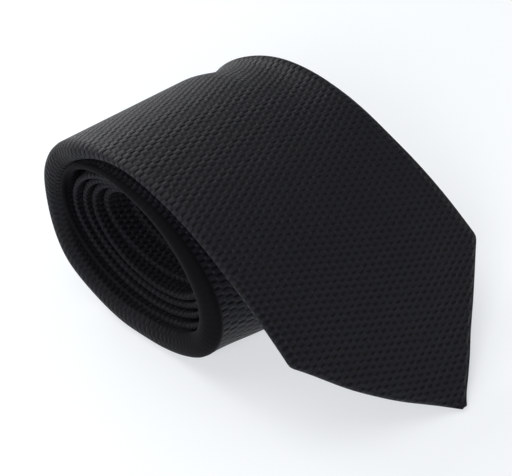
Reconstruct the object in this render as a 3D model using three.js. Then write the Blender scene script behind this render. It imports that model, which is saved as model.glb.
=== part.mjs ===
// Rolled necktie: a long folded tube of cloth round an interlining, wound up from its narrow end
// with the wide blade left loose over the front of the roll.
// Millimetres, +Z up. X runs across the tie (the roll's own axis), -Y is the side the blade falls to.
// The origin is on the table, under the middle of the whole piece.
import * as THREE from "three";
import { mergeVertices } from "three/addons/utils/BufferGeometryUtils.js";

// ---- The tie laid flat -------------------------------------------------------------------------
const TIE_LENGTH = 1400;
const BLADE_WIDTH = 90; // the widest place, at the shoulders of the point
const NECK_WIDTH = 34; // the narrowest place, where the collar holds it
const TAIL_WIDTH = 42; // the narrow end's shoulders
const NECK_AT = 950; // distance of the narrowest place from the wide point
const FRONT_SEAM_AT = 640; // bias seam between the blade cloth and the neck cloth
const TAIL_SEAM_AT = 1010; // bias seam between the neck cloth and the tail cloth
const POINT_BLUNT = 3; // half width that the very points are rounded off to

// ---- Cloth and clearances ----------------------------------------------------------------------
const CLEAR = 0.3; // gap kept between pieces that touch
const SHELL = 0.4; // shell cloth
const INTERLINING = 0.8; // brushed wool interlining
const TIPPING = 0.3; // lining cloth of the two points
const LOOP_CLOTH = 0.4; // folded strip of the keeper loop
const LABEL_CLOTH = 0.3;
const THREAD = 0.5; // slip stitch and bar tacks

// ---- Folding and sewing ------------------------------------------------------------------------
const SEAM_GAP = 0.6; // half the slit between the two back flaps
const BLADE_HEM = 16; // flap left turned over at the wide point's shoulders
const BLADE_OPEN = 150; // where the wide end's flaps have come together
const TAIL_HEM = 12;
const TAIL_OPEN = 60; // the same, counted from the narrow point
const BLADE_TIPPING = 140; // how far the wide lining runs in from the point
const TAIL_TIPPING = 55;
const KEEPER_AT = 236; // middle of the keeper loop, from the wide point
const KEEPER_WIDTH = 14; // along the tie
const KEEPER_SPAN = 52; // across the tie
const LABEL_AT = 200; // middle of the care label, from the wide point
const LABEL_SIZE = 18; // along the tie
const LABEL_SPAN = 24; // across the tie
const TACK_LENGTH = 5; // along the tie
const TACK_INSET = 4; // from the place where the flaps meet to the bar tack in the V's mouth

// ---- The roll ----------------------------------------------------------------------------------
const ROLL_HALF_DEPTH = 45.9; // outer turn, front to back
const ROLL_HALF_HEIGHT = 31.8; // outer turn, bottom to top
const ROLL_TILT = 11.8; // degrees, front end lower
const TURN_STEPS = 20; // straight stretches in one turn
const DEPTH_PITCH = [4.2, 3.4]; // turn spacing front and back, outermost and innermost
const HEIGHT_PITCH = [3.3, 2.6]; // turn spacing top and bottom
const PITCH_TURNS = 9.1; // turns over which the spacing tightens
const LOOSE_TURN = 1.2; // extra slack of the outermost turn
const SAG_SHARE = 0.35; // share of the slack by which inner turns settle back and down
const EDGE_SHIFT = 0.64; // share of the taper by which the turns keep to the near edge
const DEEPER = 16; // how much deeper than that the innermost turns lie
const DEEPER_FROM = 1040; // where the turns start to lie deeper, from the wide point
const DEEPER_TO = 1240; // and where they reach their depth

// ---- The loose blade ---------------------------------------------------------------------------
const LEAVE_ANGLE = 47.6; // degrees above the roll's back end, where the blade leaves
const POINT_REACH = 61.9; // the wide point, from the front of the roll
const POINT_REST = 6; // stretch behind the point that lies flat
const LEAVE_PULL = 29.2; // how long the blade holds its direction at the roll, past half its height
const REST_PULL = 8; // and at the table
const BLADE_STEPS = 20;
const LIFT_AT = 112; // blade hinge line, from the wide point
const TIP_AT = 40; // point hinge line, from the wide point

const turned = (degrees) => THREE.MathUtils.degToRad(degrees);
const HALF = BLADE_WIDTH / 2;
const POINT_Y = -(ROLL_HALF_DEPTH + POINT_REACH);
const ROLL_THICK = SHELL + CLEAR + INTERLINING + CLEAR + SHELL;
const BLADE_THICK = ROLL_THICK + TIPPING + CLEAR;
const THICK_FROM = BLADE_OPEN; // the tube thins from here to the keeper loop
const THICK_TO = KEEPER_AT - KEEPER_WIDTH;

/** Straight-line value between two places, held at its ends. */
function between(value, from, to, low, high) {
  return THREE.MathUtils.lerp(low, high, THREE.MathUtils.clamp((value - from) / (to - from), 0, 1));
}

/** Half the tie's width at a distance from the wide point, the points themselves left out. */
function taper(along) {
  if (along < NECK_AT) return between(along, HALF, NECK_AT, HALF, NECK_WIDTH / 2);
  return between(along, NECK_AT, TIE_LENGTH - TAIL_WIDTH / 2, NECK_WIDTH / 2, TAIL_WIDTH / 2);
}

/** Half the tie's width, both 90 degree points included. */
function halfWidth(along) {
  return Math.max(POINT_BLUNT, Math.min(along, TIE_LENGTH - along, taper(along)));
}

/** Thickness of the folded tube. */
function thickness(along) {
  return between(along, THICK_FROM, THICK_TO, BLADE_THICK, ROLL_THICK);
}

/** Half the opening between the back flaps: a slit, spreading to a V at each point. */
function opening(along) {
  const wide = between(along, HALF, BLADE_OPEN, HALF - BLADE_HEM, SEAM_GAP);
  const left = TIE_LENGTH - along;
  const tail = between(left, TAIL_WIDTH / 2, TAIL_OPEN, TAIL_WIDTH / 2 - TAIL_HEM, SEAM_GAP);
  const room = halfWidth(along) - Math.min(BLADE_HEM, TAIL_HEM);
  return Math.max(SEAM_GAP, Math.min(Math.max(wide, tail), room));
}

/** How far a spacing has closed in after some turns. */
function growth([outer, inner], turns) {
  return outer * turns - ((outer - inner) * turns * turns) / (2 * PITCH_TURNS);
}

/** A point of the roll's middle line, some turns in from where the blade leaves. */
function rollPoint(turns) {
  const angle = turned(LEAVE_ANGLE) - turns * 2 * Math.PI;
  const slack = LOOSE_TURN * (1 - Math.exp(-1.5 * turns));
  const depth = ROLL_HALF_DEPTH - growth(DEPTH_PITCH, turns) - slack;
  const height = ROLL_HALF_HEIGHT - growth(HEIGHT_PITCH, turns) - slack;
  const sag = SAG_SHARE * (growth(HEIGHT_PITCH, turns) - (ROLL_THICK + CLEAR) * turns);
  const point = new THREE.Vector2(depth * Math.cos(angle) + sag, height * Math.sin(angle) - sag / 2);
  return point.rotateAround(new THREE.Vector2(), turned(ROLL_TILT));
}

/** The tie's middle line in side view (x is Y, y is Z), from the wide point in to the tail. */
function middleLine() {
  const roll = [];
  for (let step = 0; step < TURN_STEPS * PITCH_TURNS; step += 1) roll.push(rollPoint(step / TURN_STEPS));
  const outer = roll.slice(0, TURN_STEPS);
  const lowest = outer.reduce((best, point, i) => (point.y < outer[best].y ? i : best), 0);
  const beside = outer[lowest - 1].y < outer[lowest + 1].y ? lowest - 1 : lowest + 1;
  const level = (outer[lowest].y + outer[beside].y) / 2;
  outer[lowest].y = level;
  outer[beside].y = level;
  roll.forEach((point) => (point.y += ROLL_THICK / 2 - level));
  const leaving = roll[0].clone().sub(rollPoint(1e-3).add(roll[0]).sub(rollPoint(0))).normalize();
  const rest = new THREE.Vector2(POINT_Y + POINT_REST, BLADE_THICK / 2);
  const drop = new THREE.CubicBezierCurve(
    rest,
    rest.clone().add(new THREE.Vector2(REST_PULL, 0)),
    roll[0].clone().addScaledVector(leaving, ROLL_HALF_HEIGHT + LEAVE_PULL),
    roll[0],
  );
  const point = new THREE.Vector2(POINT_Y, BLADE_THICK / 2);
  return [point, ...drop.getSpacedPoints(BLADE_STEPS).slice(0, -1), ...roll];
}

const LINE = middleLine();
const ALONG = [0];
for (let i = 1; i < LINE.length; i += 1) ALONG.push(ALONG[i - 1] + LINE[i].distanceTo(LINE[i - 1]));
if (ALONG.at(-1) < TIE_LENGTH) throw new Error("the roll is too small for the tie's length");

/** How far the tie's own middle lies from the roll's middle, along the roll's axis. */
function edgeShift(along) {
  return between(along, DEEPER_FROM, DEEPER_TO, 0, DEEPER) - EDGE_SHIFT * (HALF - taper(along));
}

/** Place, and the direction out of the tie's face, at a distance from the wide point. */
function station(along) {
  const next = Math.max(1, ALONG.findIndex((reached) => reached >= along - 1e-6));
  const here = LINE[next - 1].clone();
  const chord = LINE[next].clone().sub(here).normalize();
  here.addScaledVector(chord, along - ALONG[next - 1]);
  const face = new THREE.Vector2(-chord.y, chord.x);
  const corner = Math.abs(along - ALONG[next]) < 1e-6 && next + 1 < LINE.length;
  if (corner) {
    const after = LINE[next + 1].clone().sub(LINE[next]).normalize();
    face.add(new THREE.Vector2(-after.y, after.x));
    face.multiplyScalar(2 / face.lengthSq());
  }
  return { along, here, face, shift: edgeShift(along) };
}

/** Every station from one distance to another, the ends and the named places between included. */
function stations(from, to, places = []) {
  const inside = [...ALONG, ...places].filter((along) => along > from + 0.5 && along < to - 0.5);
  const sorted = [from, ...inside, to].sort((a, b) => a - b);
  return sorted.filter((along, i) => i === 0 || along - sorted[i - 1] > 0.2).map(station);
}

/** A closed solid through one ring of [across, out] points at each station. */
function sweep(name, material, places, ring) {
  const rings = places.map((place) => ring(place.along));
  const count = rings[0].length;
  const positions = [];
  places.forEach(({ here, face, shift }, i) => {
    for (const [across, out] of rings[i]) {
      positions.push(across + shift, here.x + face.x * out, here.y + face.y * out);
    }
  });
  const index = [];
  for (let i = 0; i + 1 < places.length; i += 1) {
    for (let j = 0; j < count; j += 1) {
      const a = i * count + j;
      const b = i * count + ((j + 1) % count);
      index.push(a, a + count, b, b, a + count, b + count);
    }
  }
  const last = (places.length - 1) * count;
  const cap = (k) => THREE.ShapeUtils.triangulateShape(rings[k].map((p) => new THREE.Vector2(...p)), []);
  for (const [a, b, c] of cap(0)) index.push(a, b, c);
  for (const [a, b, c] of cap(places.length - 1)) index.push(last + a, last + c, last + b);
  const geometry = new THREE.BufferGeometry();
  geometry.setAttribute("position", new THREE.Float32BufferAttribute(positions, 3));
  geometry.setIndex(index);
  const closed = mergeVertices(geometry, 1e-4);
  closed.computeVertexNormals();
  const mesh = new THREE.Mesh(closed, material);
  mesh.name = name;
  return mesh;
}

/** A flat strip's section: half its width, and its two faces measured out from the middle line. */
function strip(half, low, high) {
  return [[-half, low], [half, low], [half, high], [-half, high]];
}

/** The shell's section: cloth folded round both edges, its flaps meeting at the back. */
function shellRing(along) {
  const half = halfWidth(along);
  const out = thickness(along) / 2;
  const gap = Math.min(opening(along), half - 2 * SHELL - 0.4);
  const round = Math.min(out, half / 3);
  const outer = [[gap, -out], [half - round, -out], [half, 0], [half - round, out]];
  const wall = out - SHELL;
  const turn = half - round - SHELL / 4;
  const inner = [[turn, wall], [half - SHELL, 0], [turn, -wall], [gap, -wall]];
  const flip = ([across, at]) => [-across, at];
  return [...outer, ...outer.map(flip).reverse(), ...inner.map(flip).reverse(), ...inner];
}

function interliningRing(along) {
  const top = thickness(along) / 2 - SHELL - CLEAR;
  return strip(Math.max(halfWidth(along) - BLADE_THICK, 0.5), top - INTERLINING, top);
}

function tippingRing(along) {
  const low = -thickness(along) / 2 + SHELL + CLEAR;
  return strip(Math.max(halfWidth(along) - BLADE_THICK, 0.5), low, low + TIPPING);
}

/** A piece sewn on the back, so many millimetres clear of it and so thick. */
function onBack(half, thick) {
  return (along) => {
    const back = -thickness(along) / 2 - CLEAR;
    return strip(half, back - thick, back);
  };
}

function threadRing(along) {
  const low = -thickness(along) / 2;
  const half = Math.min(THREAD / 2, SEAM_GAP - CLEAR);
  return strip(half, low, low + SHELL);
}

/** The keeper: a flat strip standing clear of the back, so that the tail can pass under it. */
function keeperRing(along) {
  const back = -thickness(along) / 2 - CLEAR;
  const foot = 2;
  const reach = KEEPER_SPAN / 2;
  const rise = CLEAR + 0.1;
  return [
    [-reach, back - rise - LOOP_CLOTH], [reach, back - rise - LOOP_CLOTH], [reach, back],
    [reach - foot, back], [reach - foot, back - rise], [foot - reach, back - rise],
    [foot - reach, back], [-reach, back],
  ];
}

const cloth = (color, roughness) => new THREE.MeshStandardMaterial({ color, roughness, metalness: 0 });
const SHELL_CLOTH = cloth(0x1d1e22, 0.8);
const LINING_CLOTH = cloth(0x17181c, 0.5);
const WOOL = cloth(0xd8d4c8, 0.95);
const SATIN = cloth(0x24252a, 0.45);
const SEWING = cloth(0x15161a, 0.7);

const EDGE = POINT_BLUNT + 0.2; // lining pieces start this far inside the points
const halfCut = CLEAR / 2; // each side of a hinge line or a seam gives up half the gap
const LAST = TIE_LENGTH - POINT_BLUNT;
const WIDE_PLACES = [HALF, BLADE_OPEN, THICK_TO, NECK_AT];
const NARROW_PLACES = [NECK_AT, TIE_LENGTH - TAIL_OPEN, TIE_LENGTH - TAIL_WIDTH / 2];

/** One run of the shell, between two places along the tie. */
function shellRun(name, from, to) {
  return sweep(name, SHELL_CLOTH, stations(from, to, [...WIDE_PLACES, ...NARROW_PLACES]), shellRing);
}

/** One run of the interlining, between two places along the tie. */
function interliningRun(name, from, to) {
  return sweep(name, WOOL, stations(from, to, [...WIDE_PLACES, ...NARROW_PLACES]), interliningRing);
}

/** One run of a point's lining, between two places along the tie. */
function tippingRun(name, from, to) {
  return sweep(name, LINING_CLOTH, stations(from, to, [HALF, TIE_LENGTH - TAIL_WIDTH / 2]), tippingRing);
}

/** A bar tack: close stitches that fill the mouth of the V between the flaps. */
function barTack(name, middle) {
  const ring = (along) => {
    const low = -thickness(along) / 2;
    return strip(opening(along) - CLEAR, low, low + SHELL);
  };
  return sweep(name, SEWING, stations(middle - TACK_LENGTH / 2, middle + TACK_LENGTH / 2), ring);
}

function point() {
  const group = new THREE.Group();
  group.add(shellRun("shell_point", 0.6, TIP_AT - halfCut));
  group.add(interliningRun("interlining_point", BLADE_THICK + EDGE, TIP_AT - halfCut));
  group.add(tippingRun("tipping_point", BLADE_THICK + EDGE, TIP_AT - halfCut));
  return group;
}

function blade() {
  const group = new THREE.Group();
  group.add(shellRun("shell_blade", TIP_AT + halfCut, LIFT_AT - halfCut));
  group.add(interliningRun("interlining_blade", TIP_AT + halfCut, LIFT_AT - halfCut));
  group.add(tippingRun("tipping_blade", TIP_AT + halfCut, LIFT_AT - halfCut));
  return group;
}

function roll() {
  const group = new THREE.Group();
  group.add(shellRun("shell_front", LIFT_AT + halfCut, FRONT_SEAM_AT - halfCut));
  group.add(shellRun("shell_neck", FRONT_SEAM_AT + halfCut, TAIL_SEAM_AT - halfCut));
  group.add(shellRun("shell_tail", TAIL_SEAM_AT + halfCut, LAST));
  group.add(interliningRun("interlining_roll", LIFT_AT + halfCut, TIE_LENGTH - TAIL_TIPPING - CLEAR));
  group.add(tippingRun("tipping_front", LIFT_AT + halfCut, BLADE_TIPPING));
  group.add(slipStitch());
  group.add(barTack("bar_tack_wide", BLADE_OPEN - TACK_INSET - TACK_LENGTH / 2));
  group.add(barTack("bar_tack_narrow", TIE_LENGTH - TAIL_OPEN + TACK_INSET + TACK_LENGTH / 2));
  group.add(keeperLoop());
  group.add(careLabel());
  group.add(tippingRun("tipping_tail", TIE_LENGTH - TAIL_TIPPING, LAST - EDGE - BLADE_THICK));
  return group;
}

function slipStitch() {
  return sweep("slip_stitch", SEWING, stations(BLADE_OPEN + 2, TIE_LENGTH - TAIL_OPEN - 2), threadRing);
}

function keeperLoop() {
  const run = stations(KEEPER_AT - KEEPER_WIDTH / 2, KEEPER_AT + KEEPER_WIDTH / 2);
  return sweep("keeper_loop", SHELL_CLOTH, run, keeperRing);
}

function careLabel() {
  const run = stations(LABEL_AT - LABEL_SIZE / 2, LABEL_AT + LABEL_SIZE / 2);
  return sweep("care_label", SATIN, run, onBack(LABEL_SPAN / 2, LABEL_CLOTH));
}

const tie = new THREE.Group();
tie.add(point(), blade(), roll());
const box = new THREE.Box3().setFromObject(tie);
tie.position.set(-(box.min.x + box.max.x) / 2, -(box.min.y + box.max.y) / 2, -box.min.z);

export default tie;
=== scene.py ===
"""A black grenadine necktie, rolled up from its narrow end, with its wide blade falling over the front of the roll.

Metres, +Z up. X runs across the tie, and -Y is the side that the blade falls to. Distances along the tie start at
the wide point.
"""

import math
from bisect import bisect_right

import bmesh
import bpy
from bpy.props import FloatProperty, FloatVectorProperty, PointerProperty
from mathutils import Matrix, Vector, noise


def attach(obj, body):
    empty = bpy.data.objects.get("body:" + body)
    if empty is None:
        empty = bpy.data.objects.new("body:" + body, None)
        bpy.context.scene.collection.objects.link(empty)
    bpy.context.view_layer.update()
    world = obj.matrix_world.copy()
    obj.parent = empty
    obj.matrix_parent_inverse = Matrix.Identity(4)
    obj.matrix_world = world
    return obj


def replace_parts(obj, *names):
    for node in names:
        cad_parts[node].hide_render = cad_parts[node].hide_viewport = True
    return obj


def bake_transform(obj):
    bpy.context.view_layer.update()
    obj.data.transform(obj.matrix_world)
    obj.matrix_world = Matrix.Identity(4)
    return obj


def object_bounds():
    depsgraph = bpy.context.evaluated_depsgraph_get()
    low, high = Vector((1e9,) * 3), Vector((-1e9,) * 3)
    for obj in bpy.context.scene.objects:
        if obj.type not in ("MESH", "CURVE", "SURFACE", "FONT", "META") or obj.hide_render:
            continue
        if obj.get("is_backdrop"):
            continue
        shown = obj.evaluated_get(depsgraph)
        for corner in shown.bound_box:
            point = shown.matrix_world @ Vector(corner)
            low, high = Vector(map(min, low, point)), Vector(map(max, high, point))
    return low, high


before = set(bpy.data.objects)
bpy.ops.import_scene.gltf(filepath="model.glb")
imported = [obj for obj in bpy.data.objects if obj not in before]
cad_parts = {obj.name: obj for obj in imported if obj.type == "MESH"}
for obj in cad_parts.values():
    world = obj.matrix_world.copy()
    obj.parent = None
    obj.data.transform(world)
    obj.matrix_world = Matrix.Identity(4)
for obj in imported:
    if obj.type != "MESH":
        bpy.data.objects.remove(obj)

bl_info = {
    "name": "Rolled necktie",
    "version": (1, 0, 0),
    "blender": (4, 5, 0),
    "location": "3D View > Sidebar > Necktie",
    "description": "Builds a rolled necktie of folded grenadine silk, piece by piece",
    "category": "Add Mesh",
}

MM = 0.001

# Where the silk is cut into pieces, from the wide point: two lines where the point and the blade would hinge, then two
# seams
POINT_CUT, BLADE_CUT, FRONT_CUT, NECK_CUT = 0.076, 0.1275, 0.640, 1.010
# Where the cloth would start and end its bend at each of those two lines; no bend is made from them
BLADE_BEND, POINT_BEND = (0.124, 0.100), (0.052, 0.030)
# Rows nearest the two ends of the silk
SILK_START, SILK_END = 0.0036, 1.3985


# ---- Sizes and colours that a maker would change ----------------------------------------------------


def size(name, description, default):
    """A length in metres, shown in the scene's own units."""
    return FloatProperty(name=name, description=description, default=default, unit="LENGTH", precision=5)


def colour(name, description, default):
    """An sRGB colour, turned to linear where it is used."""
    return FloatVectorProperty(name=name, description=description, default=default, subtype="COLOR_GAMMA", size=3)


def srgb(code):
    """The red, green and blue of a hex colour, from 0 to 1."""
    return tuple(int(code[i : i + 2], 16) / 255 for i in (1, 3, 5))


def linear(rgb):
    """A shader colour from an sRGB one."""
    return tuple(c / 12.92 if c <= 0.04045 else ((c + 0.055) / 1.055) ** 2.4 for c in rgb) + (1.0,)


class TieSizes(bpy.types.PropertyGroup):
    """The tie as cut and folded."""

    length: size("Length", "From point to point", 1.4)
    blade_width: size("Blade width", "At the shoulders of the wide point", 0.090)
    neck_width: size("Neck width", "At the narrowest place", 0.034)
    tail_width: size("Tail width", "At the shoulders of the narrow point", 0.042)
    neck_at: size("Neck place", "The narrowest place, from the wide point", 0.950)
    shell: size("Shell cloth", "Thickness of the silk", 0.4 * MM)
    interlining: size("Interlining", "Thickness of the wool", 0.8 * MM)
    tipping: size("Tipping", "Thickness of the lining", 0.3 * MM)
    clear: size("Clearance", "Air between layers that touch", 0.3 * MM)
    weave_across: size("Weave repeat across", "One raised dash and one gap", 5.4 * MM)
    weave_along: size("Weave repeat along", "Two rows of dashes", 2.36 * MM)


class TieColours(bpy.types.PropertyGroup):
    """The colours of the tie's finishes."""

    silk: colour("Silk", "Raised threads of the weave", srgb("#1c1d22"))
    # The silk's colour where shade is painted: in the weave's pits and along the pressed folds
    silk_shade: colour("Silk pits", "Hollows of the weave", srgb("#09090b"))
    wool: colour("Wool", "Interlining", srgb("#d8d4c8"))
    lining: colour("Lining", "Tipping of both points", srgb("#15161a"))
    thread: colour("Thread", "Slip stitch and bar tacks", srgb("#17181c"))
    label: colour("Label", "Care label", srgb("#26272c"))
    floor: colour("Floor", "Table top", srgb("#c4c6c8"))


# ---- Shared shape of the tie ------------------------------------------------------------------------


def smooth(value, start, end):
    """0 before start, 1 after end, and an even rise between."""
    t = min(1.0, max(0.0, (value - start) / (end - start)))
    return t * t * (3 - 2 * t)


def between(value, start, end, low, high):
    """Straight-line value between two places, held at its ends."""
    t = min(1.0, max(0.0, (value - start) / (end - start)))
    return low + (high - low) * t


def soft_least(a, b, blend):
    """The smaller of two numbers, with the corner between them rounded."""
    h = max(blend - abs(a - b), 0.0) / blend
    return min(a, b) - h * h * blend / 4


class Tie:
    """Where a place on the flat tie lies once it is folded and rolled up."""

    # The outer turn's half depth and half height, and how far its front end is tipped down
    HALF_DEPTH, HALF_HEIGHT, TILT = 0.0459, 0.0318, math.radians(11.8)
    # Spacing of the turns, outermost and innermost, and the turns that it tightens over
    DEPTH_PITCH, HEIGHT_PITCH, TURNS = (0.0042, 0.0034), (0.0033, 0.0026), 9.1
    LOOSE, SAG, EDGE_SHIFT, DEEPER = 0.0012, 0.35, 0.64, 0.016
    # The loose blade: where it leaves the roll, and how it runs down to the table
    LEAVE, POINT_Y, REST, LEAVE_PULL, REST_PULL = math.radians(47.6), -0.1078, 0.003, 0.0610, 0.011
    MIDDLE_Y = 0.030681  # the roll's middle in the part's own frame
    # The point: how far its corner is cut back, how much blunter than square it is, and its smallest half width
    POINT_BACK, POINT_SLOPE, NARROWEST = 0.0024, 1.055, 0.0013
    # Half the opening between the flaps where they meet, and how far the flaps stay from the edge where they part
    MET, FLAP, TAIL_FLAP = 0.0006, 0.016, 0.012
    LIP_PUFF = 0.0033  # how far the near fold of the outer turn stands open

    def __init__(self, sizes):
        self.length = sizes.length
        self.widest, self.neck, self.tail = sizes.blade_width / 2, sizes.neck_width / 2, sizes.tail_width / 2
        self.neck_at = sizes.neck_at
        self.shell, self.wool, self.lining, self.clear = sizes.shell, sizes.interlining, sizes.tipping, sizes.clear
        self.thin = 2 * self.shell + self.wool + 2 * self.clear
        self.thick = self.thin + self.lining + self.clear
        self.draw_line()

    def taper(self, along):
        """Half the tie's width, its points left out."""
        if along < self.neck_at:
            return between(along, self.widest, self.neck_at, self.widest, self.neck)
        return between(along, self.neck_at, self.length - self.tail, self.neck, self.tail)

    def half(self, along):
        """Half the tie's width, both points included."""
        # The wide point is a little blunter than a square corner
        from_end = min(self.POINT_SLOPE * (along - self.POINT_BACK), self.length - along)
        from_end += 0.0017 * smooth(along, 0.004, 0.018) * (1 - smooth(along, 0.026, 0.045))
        return max(self.NARROWEST, soft_least(from_end, self.taper(along), self.NARROWEST))

    def opening(self, along):
        """Half the opening between the back flaps."""
        left = self.length - along
        wide = between(along, self.widest, 0.150, self.widest - self.FLAP, self.MET)
        tail = between(left, self.tail, 0.060, self.tail - self.TAIL_FLAP, self.MET)
        return max(self.MET, min(max(wide, tail), self.half(along) - self.TAIL_FLAP))

    def thickness(self, along):
        """Thickness of the folded tube, pressed together at the very points."""
        flat = 1 - smooth(min(along, self.length - along), 0.0036, 0.011)
        return between(along, 0.150, 0.222, self.thick, self.thin) * (1 - 0.6 * flat)

    def growth(self, pitch, turns):
        """How much smaller the roll is after some turns, as they tighten evenly from one pitch to the other."""
        return pitch[0] * turns - (pitch[0] - pitch[1]) * turns * turns / (2 * self.TURNS)

    def roll_point(self, turns):
        """A point of the spiral in side view: an oval that shrinks, sags and is tipped forward."""
        angle = self.LEAVE - turns * 2 * math.pi
        slack = self.LOOSE * (1 - math.exp(-1.5 * turns))
        depth = self.HALF_DEPTH - self.growth(self.DEPTH_PITCH, turns) - slack
        height = self.HALF_HEIGHT - self.growth(self.HEIGHT_PITCH, turns) - slack
        sag = self.SAG * (self.growth(self.HEIGHT_PITCH, turns) - (self.thin + self.clear) * turns)
        y, z = depth * math.cos(angle) + sag, height * math.sin(angle) - sag / 2
        cos, sin = math.cos(self.TILT), math.sin(self.TILT)
        return Vector((y * cos - z * sin, y * sin + z * cos))

    def draw_line(self):
        """The tie's middle line in side view, from the wide point in to the tail."""
        turns = [i / 400 for i in range(int(400 * self.TURNS))]
        roll = [self.roll_point(t) for t in turns]
        coarse = [self.roll_point(i / 20).y for i in range(20)]
        lowest = coarse.index(min(coarse))
        level = (coarse[lowest] + min(coarse[lowest - 1], coarse[lowest + 1])) / 2
        for point in roll:  # the outer turn lies flat where it meets the table
            lift = point.y - level
            point.y = self.thin / 2 + (lift + math.sqrt(lift * lift + 3.6e-7)) / 2
        leaving = (roll[0] - roll[1]).normalized()
        rest = Vector((self.POINT_Y + self.REST, self.thick / 2))
        near_rest, near_roll = rest + Vector((self.REST_PULL, 0)), roll[0] + leaving * self.LEAVE_PULL
        drop = []
        for i in range(300):
            w = i / 300
            v = 1 - w
            drop.append(v**3 * rest + 3 * v * v * w * near_rest + 3 * v * w * w * near_roll + w**3 * roll[0])
        flat = [Vector((self.POINT_Y + self.REST * i / 20, self.thick / 2)) for i in range(20)]
        line = flat + drop + roll
        self.points = [Vector((p.x + self.MIDDLE_Y, p.y)) for p in line]
        self.turns = [0.0] * (len(flat) + len(drop)) + turns
        self.along = [0.0]
        for a, b in zip(self.points, self.points[1:]):
            self.along.append(self.along[-1] + (b - a).length)
        self.outward = []
        last = len(self.points) - 1
        for i in range(last + 1):
            chord = (self.points[min(i + 1, last)] - self.points[max(i - 1, 0)]).normalized()
            self.outward.append(Vector((-chord.y, chord.x)))

    def station(self, along):
        """Point of the middle line, the direction out of the tie's face, and the turns made so far."""
        i = min(max(bisect_right(self.along, along) - 1, 0), len(self.along) - 2)
        w = (along - self.along[i]) / (self.along[i + 1] - self.along[i])
        point = self.points[i].lerp(self.points[i + 1], w)
        outward = self.outward[i].lerp(self.outward[i + 1], w).normalized()
        return point, outward, self.turns[i] + (self.turns[i + 1] - self.turns[i]) * w

    def shift(self, along):
        """The turns keep to the near edge as the tie gets narrower, but the innermost lie deeper."""
        deeper = self.DEEPER * between(along, 1.040, 1.240, 0.0, 1.0)
        return -self.EDGE_SHIFT * (self.widest - self.taper(along)) + deeper

    def lip(self, along):
        """Half the height of the near folded edge, which stands open on the roll's outer turn."""
        puff = smooth(along, 0.122, 0.180) * (1 - smooth(along, 0.305, 0.375))
        wander = 1 + 0.07 * noise.noise(Vector((along * 22, 0.3, 1.7)))
        return self.thickness(along) / 2 + self.LIP_PUFF * puff * wander

    def place(self, along, across, out):
        """A point of the rolled tie from its place on the flat one and its distance out from the middle layer."""
        point, outward, turns = self.station(along)
        x = across + self.shift(along)
        # Inner turns give way to the open edge of the outer one
        give = 0.0040 * smooth(turns, 0.80, 1.20) * (1 - 0.85 * smooth(turns, 1.0, 7.0))
        out -= give * (1 - smooth(x, -0.042, -0.022))
        # Over the crest the blade stands up a little, dips, and lifts again along its far edge
        crest = smooth(along, 0.105, 0.140) * (1 - smooth(along, 0.170, 0.215))
        dip = smooth(x, 0.016, 0.031) * (1 - smooth(x, 0.032, 0.044))
        out += crest * (0.0009 - 0.0024 * dip)
        out += 0.0012 * smooth(x, 0.015, 0.045) * smooth(along, 0.085, 0.110) * (1 - smooth(along, 0.135, 0.165))
        # The loose blade is a little wider on its far side
        x += 0.0022 * smooth(x, 0.0, 0.045) * (1 - smooth(along, 0.055, 0.115))
        # The near edge of the outer turns wanders: a little in at the back, out again along the bottom and front
        edge = 1 - smooth(x, -0.040, -0.010)
        behind = 0.0026 * smooth(along, 0.150, 0.168) * (1 - smooth(along, 0.184, 0.216))
        below = 0.0013 * smooth(along, 0.186, 0.220) * (1 + 0.3 * smooth(along, 0.226, 0.246))
        before = 0.0027 * smooth(along, 0.262, 0.300)
        x += edge * (behind - (below + before) * (1 - smooth(along, 0.350, 0.410)))
        # The point swings a little sideways, and its sides aren't quite straight
        x += 0.0012 * (1 - smooth(along, 0.005, 0.028))
        x -= 0.0010 * smooth(along, 0.008, 0.022) * (1 - smooth(along, 0.028, 0.048))
        # Slight waves in the loose blade
        loose = 1 - smooth(along, 0.120, 0.160)
        out += 0.0005 * loose * smooth(along, 0.012, 0.05) * noise.noise(Vector((x * 28, along * 20, 4.2)))
        # Away from the near end the lower turn reaches further forward under the blade
        forward = smooth(along, 0.262, 0.288) * (1 - smooth(along, 0.300, 0.350)) * smooth(x, -0.044, -0.016)
        return x, point.x + outward.x * out - 0.0046 * forward, point.y + outward.y * out


# ---- Meshes -----------------------------------------------------------------------------------------


def steps(start, end, step):
    """Even distances from start to end, no further apart than step."""
    count = max(1, math.ceil((end - start) / step - 1e-6))
    return [start + (end - start) * i / count for i in range(count + 1)]


def finish_mesh(name, bm, material):
    """A new object from a bmesh, with hard rims and soft faces."""
    bmesh.ops.recalc_face_normals(bm, faces=bm.faces[:])
    for face in bm.faces:
        face.smooth = True
    for edge in bm.edges:
        if len(edge.link_faces) == 2 and edge.calc_face_angle(0) > math.radians(55):
            edge.smooth = False
    mesh = bpy.data.meshes.new(name)
    bm.to_mesh(mesh)
    bm.free()
    mesh.materials.append(material)
    piece = bpy.data.objects.new(name, mesh)
    bpy.context.scene.collection.objects.link(piece)
    return piece


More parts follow.
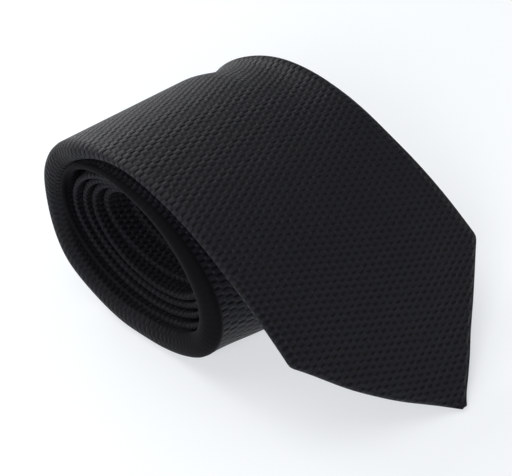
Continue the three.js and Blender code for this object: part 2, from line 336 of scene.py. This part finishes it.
def cloth(name, tie, rows, section, thickness, material):
    """A sheet of cloth. section gives, for a distance along, the cloth's outer face as (across, out, fold) points."""
    sections = []
    for along in rows:
        points = section(along)
        runs = [0.0]
        for a, b in zip(points, points[1:]):
            runs.append(runs[-1] + math.hypot(b[0] - a[0], b[1] - a[1]))
        middle = min(range(len(points)), key=lambda i: abs(points[i][0]) + (0 if points[i][1] > 0 else 1))
        start = runs[middle] - points[middle][0]
        sections.append([(across, out, run - start, fold) for (across, out, fold), run in zip(points, runs)])
    columns = len(sections[0])
    bm = bmesh.new()
    bmesh.ops.create_grid(bm, x_segments=columns - 1, y_segments=len(rows) - 1, size=0.5)
    across_layer = bm.verts.layers.float.new("cloth_across")
    along_layer = bm.verts.layers.float.new("cloth_along")
    fold_layer = bm.verts.layers.float.new("fold")
    for vert in bm.verts:
        column = round((vert.co.x + 0.5) * (columns - 1))
        row = round((vert.co.y + 0.5) * (len(rows) - 1))
        across, out, run, fold = sections[row][column]
        vert[across_layer], vert[along_layer], vert[fold_layer] = run, rows[row], fold
        vert.co = tie.place(rows[row], across, out)
    bm.normal_update()
    bmesh.ops.solidify(bm, geom=bm.faces[:], thickness=thickness)
    uv = bm.loops.layers.uv.new("cloth")
    for face in bm.faces:
        for loop in face.loops:
            loop[uv].uv = (loop.vert[across_layer], loop.vert[along_layer])
    return finish_mesh(name, bm, material)


def shell_section(tie, front_step):
    """The silk folded round both edges of the tie, its flaps meeting at the back. 1 in fold is a bare fold, whose
    colour the silk material paints darker as painted shade.
    """
    front_count = math.ceil(2 * tie.widest / front_step)
    flap_count, lip_count = front_count // 4, 10

    def section(along):
        half, out, gap = tie.half(along), tie.thickness(along) / 2, tie.opening(along)
        loose = 1 - smooth(along, 0.112, 0.165)
        press = min(0.28 * MM, out / 3) * loose  # the loose blade's folds are pressed thin
        near_high = min(tie.lip(along), half) - press
        far_high = out - press
        # The weave shows on the folds of the loose blade and the inner turns, hardly on the outer turns' own
        # The same weight paints these folds darker in the silk's colour: painted shade, strongest along the front of
        # the outer turn
        plain = (1 - 0.9 * loose) * (0.5 + 0.5 * smooth(along, 0.25, 0.29)) * (1 - 0.65 * smooth(along, 0.40, 0.50))
        near_wide = min(out + 0.55 * (near_high - out), half / 3)
        far_wide = min(far_high, half / 3)
        near = -half - 0.30 * (near_high - out) + near_wide
        far = half - far_wide
        slit = max(0.0002, min(gap, half - 2 * tie.shell - 0.0004))
        points = []
        for i in range(flap_count):
            w = i / flap_count
            across = -slit + (near + slit) * w
            drop = 2 * (near_high - out + press) * (1 - smooth(across - near, 0.0, 0.013))
            points.append((across, -out - drop, plain * smooth(w, 0.85, 1.0)))
        for i in range(lip_count + 1):
            turn = math.pi * (1.5 - i / lip_count)
            high = out - 2 * press - near_high + near_high * math.sin(turn)
            points.append((near + near_wide * math.cos(turn), high, plain))
        for i in range(1, front_count):
            w = i / front_count
            ease = w - 0.08 * math.sin(2 * math.pi * w) / (2 * math.pi)  # columns close up towards the edges
            across = near + (far - near) * ease
            edge = min(across - near, far - across)
            high = out - 2 * press * (1 - smooth(edge, 0.0, 0.0022))
            points.append((across, high, plain * (1 - smooth(edge, 0.0, 0.0012))))
        for i in range(lip_count + 1):
            turn = math.pi * (0.5 - i / lip_count)
            points.append((far + far_wide * math.cos(turn), far_high * math.sin(turn) - press, plain))
        for i in range(1, flap_count + 1):
            w = i / flap_count
            points.append((far + (slit - far) * w, -out, plain * (1 - smooth(w, 0.0, 0.15))))
        return points

    return section


def strip_section(half, top, count):
    """A flat strip of cloth: half its width and the height of its upper face, both by distance along."""

    def section(along):
        wide, high = half(along), top(along)
        return [(wide * (2 * i / count - 1), high, 0.0) for i in range(count + 1)]

    return section


def cut_area(tie, rows, section):
    """Area of the flat cloth that a piece is made from."""
    widths = []
    for along in rows:
        points = section(along)
        widths.append(sum(math.hypot(b[0] - a[0], b[1] - a[1]) for a, b in zip(points, points[1:])))
    area = sum((a + b) / 2 * (q - p) for a, b, p, q in zip(widths, widths[1:], rows, rows[1:]))
    return max(widths), area


def declare(tie, rows, section):
    """Works out the width and area of the flat cloth a piece was cut from, and does nothing more with them."""
    width, area = cut_area(tie, rows, section)


def on_line(tie, along):
    """A point on the tie's middle line, where a bend would start or end."""
    point = tie.station(along)[0]
    return (0.0, point.x, point.y)


def hang(piece, tie):
    """Puts a piece on the roll's body. The point's and the blade's pieces are left off any body, with their place baked
    into the mesh; their bend lines are worked out but not used.
    """
    if "point" in piece.name:
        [on_line(tie, along) for along in POINT_BEND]
        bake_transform(piece)
    elif "blade" in piece.name:
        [on_line(tie, along) for along in BLADE_BEND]
        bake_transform(piece)
    else:
        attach(piece, "roll")


# ---- Materials --------------------------------------------------------------------------------------


def add(tree, kind, settings=None, values=None):
    """Adds a node. settings are its own options; values go to its inputs, an output among them as a link."""
    node = tree.nodes.new(kind)
    for key, value in (settings or {}).items():
        setattr(node, key, value)
    for key, value in (values or {}).items():
        socket = node.inputs[key]
        if isinstance(value, bpy.types.NodeSocket):
            tree.links.new(value, socket)
        else:
            socket.default_value = value
    return node


def new_material(name):
    """An empty material and its node tree."""
    material = bpy.data.materials.new(name)
    material.use_nodes = True
    material.node_tree.nodes.clear()
    return material, material.node_tree


def band_scale(spacing):
    """The scale that sets a wave texture's bands that far apart."""
    return 2 * math.pi / 20 / spacing


def close(tree, shader):
    """Links the finished shader to the material's output."""
    add(tree, "ShaderNodeOutputMaterial", None, {"Surface": shader.outputs[0]})


def grenadine(sizes, colours):
    """Black grenadine silk: raised dashes in brick order with pits between, dull head on and bright at a glance. Its
    pits and pressed folds are painted darker as shade.
    """
    material, tree = new_material("black_grenadine_silk")
    place = add(tree, "ShaderNodeUVMap", {"uv_map": "cloth"})
    fold = add(tree, "ShaderNodeAttribute", {"attribute_name": "fold"})
    wander = add(tree, "ShaderNodeTexNoise", None, {"Vector": place.outputs[0], "Scale": 180.0, "Detail": 2.0})
    nudge = add(tree, "ShaderNodeVectorMath", {"operation": "MULTIPLY_ADD"}, {
        0: wander.outputs["Color"], 1: (0.0009, 0.0004, 0.0), 2: place.outputs[0]})
    axes = add(tree, "ShaderNodeSeparateXYZ", None, {0: nudge.outputs[0]})
    across = add(tree, "ShaderNodeMath", {"operation": "MULTIPLY"}, {
        0: axes.outputs["X"], 1: 2 * math.pi / sizes.weave_across})
    along = add(tree, "ShaderNodeMath", {"operation": "MULTIPLY"}, {
        0: axes.outputs["Y"], 1: 2 * math.pi / sizes.weave_along})
    wave_across = add(tree, "ShaderNodeMath", {"operation": "COSINE"}, {0: across.outputs[0]})
    wave_along = add(tree, "ShaderNodeMath", {"operation": "COSINE"}, {0: along.outputs[0]})
    cell = add(tree, "ShaderNodeMath", {"operation": "MULTIPLY"}, {0: wave_across.outputs[0], 1: wave_along.outputs[0]})
    # Raised dashes are wider than the pits between them
    dash = add(tree, "ShaderNodeMapRange", {"interpolation_type": "SMOOTHSTEP"}, {
        "Value": cell.outputs[0], "From Min": -0.75, "From Max": 0.25, "To Min": 0.0, "To Max": 1.0})
    # Twisted yarn: threads 0.55 mm apart run along each dash
    yarn = add(tree, "ShaderNodeTexWave", {"wave_type": "BANDS", "bands_direction": "Y", "wave_profile": "SIN"}, {
        "Vector": nudge.outputs[0], "Scale": band_scale(0.55 * MM), "Distortion": 0.6, "Detail": 1.0,
        "Detail Scale": 1.0})
    body = add(tree, "ShaderNodeMath", {"operation": "MULTIPLY_ADD"}, {
        0: yarn.outputs["Fac"], 1: 0.22, 2: dash.outputs[0]})
    # Stretched round a folded edge the dashes close up to fine ribs
    ribs = add(tree, "ShaderNodeMath", {"operation": "MULTIPLY_ADD"}, {0: wave_along.outputs[0], 1: 0.035, 2: 0.8})
    height = add(tree, "ShaderNodeMix", {"data_type": "FLOAT"}, {
        0: fold.outputs["Fac"], 2: body.outputs[0], 3: ribs.outputs[0]})
    bump = add(tree, "ShaderNodeBump", None, {"Strength": 1.0, "Distance": 0.00060, "Height": height.outputs[0]})
    patch = add(tree, "ShaderNodeTexNoise", None, {"Vector": place.outputs[0], "Scale": 45.0, "Detail": 3.0})
    tone = add(tree, "ShaderNodeMapRange", None, {
        "Value": patch.outputs["Fac"], "From Min": 0.3, "From Max": 0.7, "To Min": 0.8, "To Max": 1.15})
    mask = add(tree, "ShaderNodeMath", {"operation": "MULTIPLY", "use_clamp": True}, {
        0: height.outputs[0], 1: tone.outputs[0]})
    # The pressed folds are smoother than the open weave and give back less light: rougher, less specular, and painted
    # darker as painted shade
    lit = add(tree, "ShaderNodeMath", {"operation": "MULTIPLY_ADD", "use_clamp": True}, {
        0: fold.outputs["Fac"], 1: -0.75, 2: mask.outputs[0]})
    # Threads take the silk colour; the pits and pressed folds take the darker one as painted shade, varied by random
    # patches of tone
    silk = add(tree, "ShaderNodeMix", {"data_type": "RGBA"}, {
        0: lit.outputs[0], 6: linear(colours.silk_shade), 7: linear(colours.silk)})
    rough = add(tree, "ShaderNodeMapRange", None, {
        "Value": fold.outputs["Fac"], "From Min": 0.0, "From Max": 1.0, "To Min": 0.47, "To Max": 0.80})
    shine = add(tree, "ShaderNodeMapRange", None, {
        "Value": fold.outputs["Fac"], "From Min": 0.0, "From Max": 1.0, "To Min": 0.15, "To Max": 0.06})
    shader = add(tree, "ShaderNodeBsdfPrincipled", None, {
        "Base Color": silk.outputs[2], "Roughness": rough.outputs["Result"],
        "Specular IOR Level": shine.outputs["Result"], "Sheen Weight": 0.05,
        "Sheen Roughness": 0.35, "Sheen Tint": linear(srgb("#c9ccd4")), "Normal": bump.outputs[0]})
    close(tree, shader)
    return material


def wool(colours):
    """Brushed wool interlining: matt, hairy, off-white."""
    material, tree = new_material("brushed_wool")
    place = add(tree, "ShaderNodeUVMap", {"uv_map": "cloth"})
    hair = add(tree, "ShaderNodeTexNoise", None, {
        "Vector": place.outputs[0], "Scale": 1400.0, "Detail": 5.0, "Roughness": 0.7})
    bump = add(tree, "ShaderNodeBump", None, {"Strength": 0.8, "Distance": 0.0003, "Height": hair.outputs["Fac"]})
    tone = add(tree, "ShaderNodeMix", {"data_type": "RGBA"}, {
        0: hair.outputs["Fac"], 6: linear(tuple(c * 0.82 for c in colours.wool)), 7: linear(colours.wool)})
    shader = add(tree, "ShaderNodeBsdfPrincipled", None, {
        "Base Color": tone.outputs[2], "Roughness": 0.95, "Specular IOR Level": 0.2, "Sheen Weight": 0.4,
        "Normal": bump.outputs[0]})
    close(tree, shader)
    return material


def satin(name, rgb, roughness):
    """Satin: floats of warp 0.4 mm apart, smooth and glossy along the thread. Real ones are finer than shows."""
    material, tree = new_material(name)
    place = add(tree, "ShaderNodeUVMap", {"uv_map": "cloth"})
    floats = add(tree, "ShaderNodeTexWave", {"wave_type": "BANDS", "bands_direction": "X", "wave_profile": "SIN"}, {
        "Vector": place.outputs[0], "Scale": band_scale(0.4 * MM), "Distortion": 0.8, "Detail": 2.0})
    bump = add(tree, "ShaderNodeBump", None, {"Strength": 0.35, "Distance": 0.00008, "Height": floats.outputs["Fac"]})
    tone = add(tree, "ShaderNodeMix", {"data_type": "RGBA"}, {
        0: floats.outputs["Fac"], 6: linear(tuple(c * 0.7 for c in rgb)), 7: linear(rgb)})
    shader = add(tree, "ShaderNodeBsdfPrincipled", None, {
        "Base Color": tone.outputs[2], "Roughness": roughness, "Specular IOR Level": 0.45, "Anisotropic": 0.5,
        "Normal": bump.outputs[0]})
    close(tree, shader)
    return material


def sewing_thread(colours):
    """Twisted silk thread: the twist repeats every 0.6 mm."""
    material, tree = new_material("twisted_silk_thread")
    place = add(tree, "ShaderNodeTexCoord")
    twist = add(tree, "ShaderNodeTexWave", {"wave_type": "BANDS", "bands_direction": "DIAGONAL"}, {
        "Vector": place.outputs["Object"], "Scale": band_scale(0.6 * MM), "Distortion": 0.3})
    bump = add(tree, "ShaderNodeBump", None, {"Strength": 0.7, "Distance": 0.0001, "Height": twist.outputs["Fac"]})
    tone = add(tree, "ShaderNodeMix", {"data_type": "RGBA"}, {
        0: twist.outputs["Fac"], 6: linear(tuple(c * 0.6 for c in colours.thread)), 7: linear(colours.thread)})
    shader = add(tree, "ShaderNodeBsdfPrincipled", None, {
        "Base Color": tone.outputs[2], "Roughness": 0.6, "Specular IOR Level": 0.4, "Normal": bump.outputs[0]})
    close(tree, shader)
    return material


def table_paint(colours):
    """Matt opal sheet lit from below, as on a light table: barely any gloss, a trace of grain."""
    material, tree = new_material("matt_opal_sheet")
    place = add(tree, "ShaderNodeTexCoord")
    grain = add(tree, "ShaderNodeTexNoise", None, {"Vector": place.outputs["Object"], "Scale": 900.0, "Detail": 2.0})
    bump = add(tree, "ShaderNodeBump", None, {"Strength": 0.05, "Distance": 0.0001, "Height": grain.outputs["Fac"]})
    shader = add(tree, "ShaderNodeBsdfPrincipled", None, {
        "Base Color": linear(colours.floor), "Roughness": 0.7, "Specular IOR Level": 0.1, "Normal": bump.outputs[0],
        "Emission Color": linear(colours.floor), "Emission Strength": 0.93})
    close(tree, shader)
    return material


def finish_named(name, make):
    """A material that several operators share."""
    return bpy.data.materials.get(name) or make()


# ---- Operators --------------------------------------------------------------------------------------


class MakeShell(bpy.types.Operator):
    """Folds the silk round the tie: point, blade, front, neck and tail cloths"""

    bl_idname = "necktie.shell"
    bl_label = "Silk shell"

    def execute(self, context):
        sizes, colours = context.scene.tie_sizes, context.scene.tie_colours
        tie = Tie(sizes)
        silk = finish_named("black_grenadine_silk", lambda: grenadine(sizes, colours))
        runs = (
            ("point_cloth", "shell_point", SILK_START, POINT_CUT, 1.1 * MM, 1.3 * MM, []),
            ("blade_cloth", "shell_blade", POINT_CUT, BLADE_CUT, 1.1 * MM, 1.3 * MM, ["front_cloth"]),
            ("front_cloth", "shell_front", BLADE_CUT, FRONT_CUT, 1.6 * MM, 2.0 * MM, ["neck_cloth"]),
            ("neck_cloth", "shell_neck", FRONT_CUT, NECK_CUT, 2.2 * MM, 3.0 * MM, ["tail_cloth"]),
            ("tail_cloth", "shell_tail", NECK_CUT, SILK_END, 1.8 * MM, 2.6 * MM, ["neck_cloth"]),
        )
        pieces = {}
        for name, node, start, end, step, front_step, _ in runs:
            rows, section = steps(start, end, step), shell_section(tie, front_step)
            piece = cloth(name, tie, rows, section, tie.shell, silk)
            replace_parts(piece, node)
            pieces[name] = (piece, rows, section)
        for name, _, _, _, _, _, under in runs:
            piece, rows, section = pieces[name]
            declare(tie, rows, section)
            hang(piece, tie)
        return {"FINISHED"}


class MakeInterlining(bpy.types.Operator):
    """Lays the brushed wool inside the shell"""

    bl_idname = "necktie.interlining"
    bl_label = "Wool interlining"

    def execute(self, context):
        sizes, colours = context.scene.tie_sizes, context.scene.tie_colours
        tie = Tie(sizes)
        finish = finish_named("brushed_wool", lambda: wool(colours))
        section = strip_section(
            lambda along: max(tie.half(along) - tie.thick, 0.0005),
            lambda along: tie.thickness(along) / 2 - tie.shell - tie.clear,
            14,
        )
        for name, node, start, end, silk in (
            ("wool_point", "interlining_point", 0.006, POINT_CUT, "point_cloth"),
            ("wool_blade", "interlining_blade", POINT_CUT, BLADE_CUT, "blade_cloth"),
            ("wool_roll", "interlining_roll", BLADE_CUT, 1.3447, "front_cloth"),
        ):
            rows = steps(start, end, 0.0025)
            piece = cloth(name, tie, rows, section, tie.wool, finish)
            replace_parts(piece, node)
            declare(tie, rows, section)
            hang(piece, tie)
        return {"FINISHED"}


class MakeTipping(bpy.types.Operator):
    """Lines both points with satin"""

    bl_idname = "necktie.tipping"
    bl_label = "Satin tipping"

    def execute(self, context):
        sizes, colours = context.scene.tie_sizes, context.scene.tie_colours
        tie = Tie(sizes)
        finish = finish_named("lining_satin", lambda: satin("lining_satin", colours.lining, 0.4))
        section = strip_section(
            lambda along: max(tie.half(along) - tie.thick, 0.0005),
            lambda along: -tie.thickness(along) / 2 + tie.shell + tie.clear + tie.lining,
            20,
        )
        for name, node, start, end, silk in (
            ("lining_point", "tipping_point", 0.006, POINT_CUT, "point_cloth"),
            ("lining_blade", "tipping_blade", POINT_CUT, BLADE_CUT, "blade_cloth"),
            ("lining_front", "tipping_front", BLADE_CUT, 0.140, "front_cloth"),
            ("lining_tail", "tipping_tail", 1.345, 1.391, "tail_cloth"),
        ):
            rows = steps(start, end, 0.002)
            piece = cloth(name, tie, rows, section, tie.lining, finish)
            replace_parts(piece, node)
            declare(tie, rows, section)
            hang(piece, tie)
        return {"FINISHED"}


def stitches(name, tie, places, size, finish):
    """Small slanted stitches. places are (along, across, out, slant); size is half their length, width and height."""
    bm = bmesh.new()
    for along, across, out, slant in places:
        here = Vector(tie.place(along, across, out))
        ahead = Vector(tie.place(along + 0.0005, across, out)) - here
        above = Vector(tie.place(along, across, out + 0.0005)) - here
        side = ahead.cross(above).normalized()
        run = (ahead.normalized() * math.cos(slant) + side * math.sin(slant)).normalized()
        rise = above.normalized()
        turn = Matrix((run, rise.cross(run), rise)).transposed().to_4x4()
        fit = Matrix.Translation(here) @ turn @ Matrix.Diagonal((*size, 1.0))
        bmesh.ops.create_icosphere(bm, subdivisions=1, radius=1.0, matrix=fit)
    piece = finish_mesh(name, bm, finish)
    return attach(piece, "roll")


class MakeStitches(bpy.types.Operator):
    """Sews the back seam closed and tacks both of its ends"""

    bl_idname = "necktie.stitches"
    bl_label = "Slip stitch and bar tacks"

    def execute(self, context):
        sizes, colours = context.scene.tie_sizes, context.scene.tie_colours
        tie = Tie(sizes)
        finish = finish_named("twisted_silk_thread", lambda: sewing_thread(colours))
        seam = [(a, 0.0, -tie.thickness(a) / 2 + tie.shell / 2, 0.10) for a in steps(0.1545, 1.3355, 0.0045)]
        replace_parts(stitches("seam_stitches", tie, seam, (0.0021, 0.00022, 0.0002), finish), "slip_stitch")
        for name, node, middle in (
            ("wide_tack", "bar_tack_wide", 0.1435),
            ("narrow_tack", "bar_tack_narrow", 1.3465),
        ):
            close_rows = [
                (a, 0.0, -tie.thickness(a) / 2 + tie.shell / 2, math.pi / 2)
                for a in steps(middle - 0.0022, middle + 0.0022, 0.55 * MM)
            ]
            reach = tie.opening(middle) + 0.0002
            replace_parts(stitches(name, tie, close_rows, (reach, 0.00026, 0.0002), finish), node)
        return {"FINISHED"}


class MakeKeeperLoop(bpy.types.Operator):
    """Sews the keeper loop across the back of the blade"""

    bl_idname = "necktie.keeper_loop"
    bl_label = "Keeper loop"

    def execute(self, context):
        sizes, colours = context.scene.tie_sizes, context.scene.tie_colours
        tie = Tie(sizes)
        silk = finish_named("black_grenadine_silk", lambda: grenadine(sizes, colours))
        reach, foot = 0.026, 0.004

        def section(along):
            back = -tie.thickness(along) / 2 - tie.clear
            points = []
            for i in range(41):
                across = reach * (2 * i / 40 - 1)
                rise = 0.0004 * smooth(reach - abs(across), 0.0, foot)
                points.append((across, back - rise, 0.0))
            return points

        rows = steps(0.229, 0.243, 0.001)
        piece = cloth("keeper_cloth", tie, rows, section, sizes.shell, silk)
        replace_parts(piece, "keeper_loop")
        declare(tie, rows, section)
        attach(piece, "roll")
        return {"FINISHED"}


class MakeCareLabel(bpy.types.Operator):
    """Sews the blank care label on the back"""

    bl_idname = "necktie.care_label"
    bl_label = "Care label"

    def execute(self, context):
        sizes, colours = context.scene.tie_sizes, context.scene.tie_colours
        tie = Tie(sizes)
        finish = finish_named("label_satin", lambda: satin("label_satin", colours.label, 0.35))
        section = strip_section(lambda along: 0.012, lambda along: -tie.thickness(along) / 2 - tie.clear, 12)
        rows = steps(0.191, 0.209, 0.001)
        piece = cloth("label_cloth", tie, rows, section, 0.3 * MM, finish)
        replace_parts(piece, "care_label")
        declare(tie, rows, section)
        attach(piece, "roll")
        return {"FINISHED"}


class MakeStage(bpy.types.Operator):
    """Sets up the table, the soft light and the camera"""

    bl_idname = "necktie.stage"
    bl_label = "Table, light and camera"

    def execute(self, context):
        scene, colours = context.scene, context.scene.tie_colours
        bm = bmesh.new()
        bmesh.ops.create_grid(bm, x_segments=1, y_segments=1, size=4.0)
        floor = finish_mesh("floor", bm, table_paint(colours))
        floor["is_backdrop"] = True
        scene.view_settings.view_transform = "Standard"
        world = bpy.data.worlds.new("soft_room")
        scene.world = world
        world.use_nodes = True
        back = world.node_tree.nodes["Background"]
        back.inputs["Color"].default_value = linear(srgb("#f4f6fa"))
        back.inputs["Strength"].default_value = 0.26
        for name, place, aim, wide, power in (
            ("back_softbox", (0.10, 1.10, 0.35), (0.0, 0.0, 0.05), 0.9, 10.5),
            ("near_softbox", (-0.95, -0.50, 0.58), (-0.03, 0.03, 0.03), 0.4, 7.6),
            ("top_softbox", (-0.25, 0.35, 1.0), (0.0, 0.0, 0.0), 0.9, 3.0),
        ):
            light = bpy.data.lights.new(name, "AREA")
            light.shape, light.size, light.energy = "SQUARE", wide, power
            lamp = bpy.data.objects.new(name, light)
            lamp.location = place
            lamp.rotation_euler = (Vector(aim) - Vector(place)).to_track_quat("-Z", "Y").to_euler()
            scene.collection.objects.link(lamp)
        camera = bpy.data.objects.new("camera", bpy.data.cameras.new("camera"))
        camera.data.lens, camera.data.sensor_width = 98.6, 36.0
        azimuth, height, distance = math.radians(-46.42), math.radians(35.78), 0.472
        target = Vector((-0.0020, 0.0136, 0.025))
        away = Vector((math.sin(azimuth) * math.cos(height), -math.cos(azimuth) * math.cos(height), math.sin(height)))
        camera.location = target + away * distance
        camera.rotation_euler = (-away).to_track_quat("-Z", "Y").to_euler()
        scene.collection.objects.link(camera)
        scene.camera = camera
        return {"FINISHED"}


class NecktiePanel(bpy.types.Panel):
    """Lists the tie's pieces, sizes and colours"""

    bl_idname = "VIEW3D_PT_necktie"
    bl_label = "Rolled necktie"
    bl_space_type = "VIEW_3D"
    bl_region_type = "UI"
    bl_category = "Necktie"

    def draw(self, context):
        for operator in OPERATORS:
            self.layout.operator(operator.bl_idname)
        for group in (context.scene.tie_sizes, context.scene.tie_colours):
            column = self.layout.column(align=True)
            for name in group.__annotations__:
                column.prop(group, name)


OPERATORS = (MakeStage, MakeShell, MakeInterlining, MakeTipping, MakeStitches, MakeKeeperLoop, MakeCareLabel)
CLASSES = (TieSizes, TieColours, *OPERATORS, NecktiePanel)


def register():
    for entry in CLASSES:
        bpy.utils.register_class(entry)
    bpy.types.Scene.tie_sizes = PointerProperty(type=TieSizes)
    bpy.types.Scene.tie_colours = PointerProperty(type=TieColours)


def unregister():
    del bpy.types.Scene.tie_colours
    del bpy.types.Scene.tie_sizes
    for entry in reversed(CLASSES):
        bpy.utils.unregister_class(entry)


def main():
    """Builds every piece, and works out the size of the part before and after without keeping it."""
    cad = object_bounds()
    register()
    bpy.ops.necktie.stage()
    bpy.ops.necktie.shell()
    bpy.ops.necktie.interlining()
    bpy.ops.necktie.tipping()
    bpy.ops.necktie.stitches()
    bpy.ops.necktie.keeper_loop()
    bpy.ops.necktie.care_label()
    plain = lambda box: [[float(value) for value in corner] for corner in box]
    {"cad": plain(cad), "visual": plain(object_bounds())}


if __name__ == "__main__":
    main()
